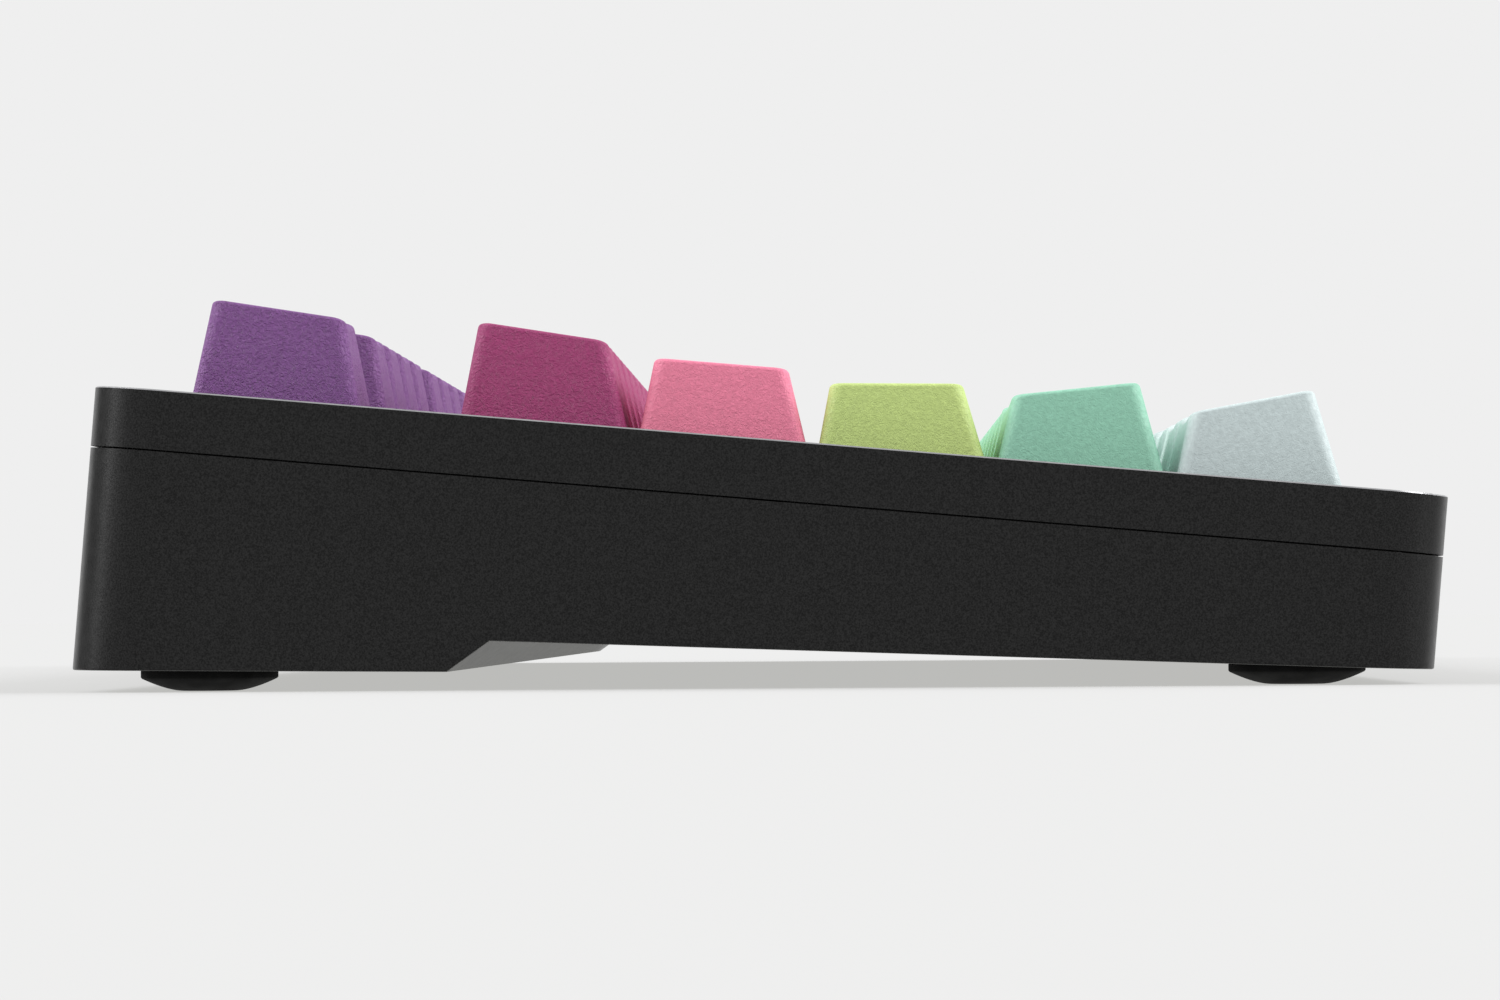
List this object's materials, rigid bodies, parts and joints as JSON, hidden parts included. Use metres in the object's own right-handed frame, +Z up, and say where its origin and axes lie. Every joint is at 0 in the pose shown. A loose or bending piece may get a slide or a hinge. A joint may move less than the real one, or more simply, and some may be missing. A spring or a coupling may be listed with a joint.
{
  "type": "mechanical keyboard",
  "caption": "Tenkeyless mechanical keyboard: wedge-shaped split aluminium case, blank sculpted keycaps in a colour per row, sprung keys, rubber feet and a rear USB-C socket.",
  "frame": {"origin": "on the desk, under the middle of the keyboard's bounding box", "axes": "+X along the long side to the typist's right, +Y towards the back, +Z up; the typist sits on the -Y side"},
  "size_m": [0.3672, 0.145, 0.0418],
  "materials": {
    "case_black": "fine bead-blasted, black anodised",
    "foot_rubber": "matt moulded",
    "screw_steel": "blackened steel",
    "plate_steel": "dark satin",
    "board_black": "black solder mask over glass-fibre laminate",
    "chip_black": "moulded epoxy",
    "socket_steel": "drawn steel",
    "wire_steel": "drawn steel",
    "switch_black": "moulded",
    "keycap_function": "finely sanded purple",
    "keycap_number": "finely sanded magenta",
    "keycap_upper": "finely sanded pink",
    "keycap_home": "finely sanded lime",
    "keycap_lower": "finely sanded mint",
    "keycap_bottom": "finely sanded pale blue-grey"
  },
  "bodies": {
    "chassis": {"bottom_case": "case_black", "case_screw_front_left": "screw_steel", "case_screw_front_right": "screw_steel", "case_screw_rear_left": "screw_steel", "case_screw_rear_right": "screw_steel", "case_screw_side_left": "screw_steel", "case_screw_side_right": "screw_steel", "circuit_board": "board_black", "controller_chip": "chip_black", "foot_front_left": "foot_rubber", "foot_front_right": "foot_rubber", "foot_rear_left": "foot_rubber", "foot_rear_right": "foot_rubber", "switch_housings_bottom_row": "switch_black", "switch_housings_function_row": "switch_black", "switch_housings_home_row": "switch_black", "switch_housings_lower_row": "switch_black", "switch_housings_number_row": "switch_black", "switch_housings_upper_row": "switch_black", "switch_plate": "plate_steel", "top_case": "case_black", "usb_socket": "socket_steel"},
    "key_backslash": {"keycap_backslash": "keycap_upper"},
    "key_backspace": {"keycap_backspace": "keycap_number"},
    "key_caps_lock": {"keycap_caps_lock": "keycap_home"},
    "key_down": {"keycap_down": "keycap_bottom"},
    "key_enter": {"keycap_enter": "keycap_home"},
    "key_esc": {"keycap_esc": "keycap_function"},
    "key_grave": {"keycap_grave": "keycap_number"},
    "key_left": {"keycap_left": "keycap_bottom"},
    "key_left_alt": {"keycap_left_alt": "keycap_bottom"},
    "key_left_ctrl": {"keycap_left_ctrl": "keycap_bottom"},
    "key_left_meta": {"keycap_left_meta": "keycap_bottom"},
    "key_left_shift": {"keycap_left_shift": "keycap_lower"},
    "key_menu": {"keycap_menu": "keycap_bottom"},
    "key_right": {"keycap_right": "keycap_bottom"},
    "key_right_alt": {"keycap_right_alt": "keycap_bottom"},
    "key_right_ctrl": {"keycap_right_ctrl": "keycap_bottom"},
    "key_right_meta": {"keycap_right_meta": "keycap_bottom"},
    "key_right_shift": {"keycap_right_shift": "keycap_lower"},
    "key_space": {"keycap_space": "keycap_bottom"},
    "key_tab": {"keycap_tab": "keycap_upper"},
    "key_up": {"keycap_up": "keycap_lower"},
    "keys_delete_end_page_down": {"keycaps_delete_end_page_down": "keycap_upper"},
    "keys_digits": {"keycaps_digits": "keycap_number"},
    "keys_f1_to_f4": {"keycaps_f1_to_f4": "keycap_function"},
    "keys_f5_to_f8": {"keycaps_f5_to_f8": "keycap_function"},
    "keys_f9_to_f12": {"keycaps_f9_to_f12": "keycap_function"},
    "keys_home_letters": {"keycaps_home_letters": "keycap_home"},
    "keys_insert_home_page_up": {"keycaps_insert_home_page_up": "keycap_number"},
    "keys_lower_letters": {"keycaps_lower_letters": "keycap_lower"},
    "keys_print_scroll_pause": {"keycaps_print_scroll_pause": "keycap_function"},
    "keys_upper_letters": {"keycaps_upper_letters": "keycap_upper"},
    "wire_backspace": {"stabiliser_wire_backspace": "wire_steel"},
    "wire_enter": {"stabiliser_wire_enter": "wire_steel"},
    "wire_left_shift": {"stabiliser_wire_left_shift": "wire_steel"},
    "wire_right_shift": {"stabiliser_wire_right_shift": "wire_steel"},
    "wire_space": {"stabiliser_wire_space": "wire_steel"}
  },
  "joints": [
    {"name": "key_backslash_travel", "type": "slide", "parent": "chassis", "child": "key_backslash", "axis": [0, -0.0872, 0.9962], "range_m": [-0.004, 0], "stiffness_N_per_m": 75, "springref_m": 0.0045},
    {"name": "key_backspace_travel", "type": "slide", "parent": "chassis", "child": "key_backspace", "axis": [0, -0.0872, 0.9962], "range_m": [-0.004, 0], "stiffness_N_per_m": 75, "springref_m": 0.0045},
    {"name": "key_caps_lock_travel", "type": "slide", "parent": "chassis", "child": "key_caps_lock", "axis": [0, -0.0872, 0.9962], "range_m": [-0.004, 0], "stiffness_N_per_m": 75, "springref_m": 0.0045},
    {"name": "key_down_travel", "type": "slide", "parent": "chassis", "child": "key_down", "axis": [0, -0.0872, 0.9962], "range_m": [-0.004, 0], "stiffness_N_per_m": 75, "springref_m": 0.0045},
    {"name": "key_enter_travel", "type": "slide", "parent": "chassis", "child": "key_enter", "axis": [0, -0.0872, 0.9962], "range_m": [-0.004, 0], "stiffness_N_per_m": 75, "springref_m": 0.0045},
    {"name": "key_esc_travel", "type": "slide", "parent": "chassis", "child": "key_esc", "axis": [0, -0.0872, 0.9962], "range_m": [-0.004, 0], "stiffness_N_per_m": 75, "springref_m": 0.0045},
    {"name": "key_grave_travel", "type": "slide", "parent": "chassis", "child": "key_grave", "axis": [0, -0.0872, 0.9962], "range_m": [-0.004, 0], "stiffness_N_per_m": 75, "springref_m": 0.0045},
    {"name": "key_left_travel", "type": "slide", "parent": "chassis", "child": "key_left", "axis": [0, -0.0872, 0.9962], "range_m": [-0.004, 0], "stiffness_N_per_m": 75, "springref_m": 0.0045},
    {"name": "key_left_alt_travel", "type": "slide", "parent": "chassis", "child": "key_left_alt", "axis": [0, -0.0872, 0.9962], "range_m": [-0.004, 0], "stiffness_N_per_m": 75, "springref_m": 0.0045},
    {"name": "key_left_ctrl_travel", "type": "slide", "parent": "chassis", "child": "key_left_ctrl", "axis": [0, -0.0872, 0.9962], "range_m": [-0.004, 0], "stiffness_N_per_m": 75, "springref_m": 0.0045},
    {"name": "key_left_meta_travel", "type": "slide", "parent": "chassis", "child": "key_left_meta", "axis": [0, -0.0872, 0.9962], "range_m": [-0.004, 0], "stiffness_N_per_m": 75, "springref_m": 0.0045},
    {"name": "key_left_shift_travel", "type": "slide", "parent": "chassis", "child": "key_left_shift", "axis": [0, -0.0872, 0.9962], "range_m": [-0.004, 0], "stiffness_N_per_m": 75, "springref_m": 0.0045},
    {"name": "key_menu_travel", "type": "slide", "parent": "chassis", "child": "key_menu", "axis": [0, -0.0872, 0.9962], "range_m": [-0.004, 0], "stiffness_N_per_m": 75, "springref_m": 0.0045},
    {"name": "key_right_travel", "type": "slide", "parent": "chassis", "child": "key_right", "axis": [0, -0.0872, 0.9962], "range_m": [-0.004, 0], "stiffness_N_per_m": 75, "springref_m": 0.0045},
    {"name": "key_right_alt_travel", "type": "slide", "parent": "chassis", "child": "key_right_alt", "axis": [0, -0.0872, 0.9962], "range_m": [-0.004, 0], "stiffness_N_per_m": 75, "springref_m": 0.0045},
    {"name": "key_right_ctrl_travel", "type": "slide", "parent": "chassis", "child": "key_right_ctrl", "axis": [0, -0.0872, 0.9962], "range_m": [-0.004, 0], "stiffness_N_per_m": 75, "springref_m": 0.0045},
    {"name": "key_right_meta_travel", "type": "slide", "parent": "chassis", "child": "key_right_meta", "axis": [0, -0.0872, 0.9962], "range_m": [-0.004, 0], "stiffness_N_per_m": 75, "springref_m": 0.0045},
    {"name": "key_right_shift_travel", "type": "slide", "parent": "chassis", "child": "key_right_shift", "axis": [0, -0.0872, 0.9962], "range_m": [-0.004, 0], "stiffness_N_per_m": 75, "springref_m": 0.0045},
    {"name": "key_space_travel", "type": "slide", "parent": "chassis", "child": "key_space", "axis": [0, -0.0872, 0.9962], "range_m": [-0.004, 0], "stiffness_N_per_m": 75, "springref_m": 0.0045},
    {"name": "key_tab_travel", "type": "slide", "parent": "chassis", "child": "key_tab", "axis": [0, -0.0872, 0.9962], "range_m": [-0.004, 0], "stiffness_N_per_m": 75, "springref_m": 0.0045},
    {"name": "key_up_travel", "type": "slide", "parent": "chassis", "child": "key_up", "axis": [0, -0.0872, 0.9962], "range_m": [-0.004, 0], "stiffness_N_per_m": 75, "springref_m": 0.0045},
    {"name": "keys_delete_end_page_down_travel", "type": "slide", "parent": "chassis", "child": "keys_delete_end_page_down", "axis": [0, -0.0872, 0.9962], "range_m": [-0.004, 0], "stiffness_N_per_m": 225, "springref_m": 0.0045},
    {"name": "keys_digits_travel", "type": "slide", "parent": "chassis", "child": "keys_digits", "axis": [0, -0.0872, 0.9962], "range_m": [-0.004, 0], "stiffness_N_per_m": 900, "springref_m": 0.0045},
    {"name": "keys_f1_to_f4_travel", "type": "slide", "parent": "chassis", "child": "keys_f1_to_f4", "axis": [0, -0.0872, 0.9962], "range_m": [-0.004, 0], "stiffness_N_per_m": 300, "springref_m": 0.0045},
    {"name": "keys_f5_to_f8_travel", "type": "slide", "parent": "chassis", "child": "keys_f5_to_f8", "axis": [0, -0.0872, 0.9962], "range_m": [-0.004, 0], "stiffness_N_per_m": 300, "springref_m": 0.0045},
    {"name": "keys_f9_to_f12_travel", "type": "slide", "parent": "chassis", "child": "keys_f9_to_f12", "axis": [0, -0.0872, 0.9962], "range_m": [-0.004, 0], "stiffness_N_per_m": 300, "springref_m": 0.0045},
    {"name": "keys_home_letters_travel", "type": "slide", "parent": "chassis", "child": "keys_home_letters", "axis": [0, -0.0872, 0.9962], "range_m": [-0.004, 0], "stiffness_N_per_m": 825, "springref_m": 0.0045},
    {"name": "keys_insert_home_page_up_travel", "type": "slide", "parent": "chassis", "child": "keys_insert_home_page_up", "axis": [0, -0.0872, 0.9962], "range_m": [-0.004, 0], "stiffness_N_per_m": 225, "springref_m": 0.0045},
    {"name": "keys_lower_letters_travel", "type": "slide", "parent": "chassis", "child": "keys_lower_letters", "axis": [0, -0.0872, 0.9962], "range_m": [-0.004, 0], "stiffness_N_per_m": 750, "springref_m": 0.0045},
    {"name": "keys_print_scroll_pause_travel", "type": "slide", "parent": "chassis", "child": "keys_print_scroll_pause", "axis": [0, -0.0872, 0.9962], "range_m": [-0.004, 0], "stiffness_N_per_m": 225, "springref_m": 0.0045},
    {"name": "keys_upper_letters_travel", "type": "slide", "parent": "chassis", "child": "keys_upper_letters", "axis": [0, -0.0872, 0.9962], "range_m": [-0.004, 0], "stiffness_N_per_m": 900, "springref_m": 0.0045},
    {"name": "wire_backspace_turn", "type": "hinge", "parent": "chassis", "child": "wire_backspace", "pos_m": [0.09287, 0.01572, 0.01721], "axis": [1, 0, 0], "range_deg": [-28.2, 0]},
    {"name": "wire_enter_turn", "type": "hinge", "parent": "chassis", "child": "wire_enter", "pos_m": [0.09049, -0.02224, 0.01389], "axis": [1, 0, 0], "range_deg": [-28.2, 0]},
    {"name": "wire_left_shift_turn", "type": "hinge", "parent": "chassis", "child": "wire_left_shift", "pos_m": [-0.1524, -0.04121, 0.01223], "axis": [1, 0, 0], "range_deg": [-28.2, 0]},
    {"name": "wire_right_shift_turn", "type": "hinge", "parent": "chassis", "child": "wire_right_shift", "pos_m": [0.08572, -0.04121, 0.01223], "axis": [1, 0, 0], "range_deg": [-28.2, 0]},
    {"name": "wire_space_turn", "type": "hinge", "parent": "chassis", "child": "wire_space", "pos_m": [-0.04286, -0.06019, 0.01057], "axis": [1, 0, 0], "range_deg": [-28.2, 0]}
  ],
  "couplings": [
    {"joint": "wire_backspace_turn", "follows": "key_backspace_travel", "rad_per_m": 122.5},
    {"joint": "wire_enter_turn", "follows": "key_enter_travel", "rad_per_m": 122.5},
    {"joint": "wire_left_shift_turn", "follows": "key_left_shift_travel", "rad_per_m": 122.5},
    {"joint": "wire_right_shift_turn", "follows": "key_right_shift_travel", "rad_per_m": 122.5},
    {"joint": "wire_space_turn", "follows": "key_space_travel", "rad_per_m": 122.5}
  ]
}
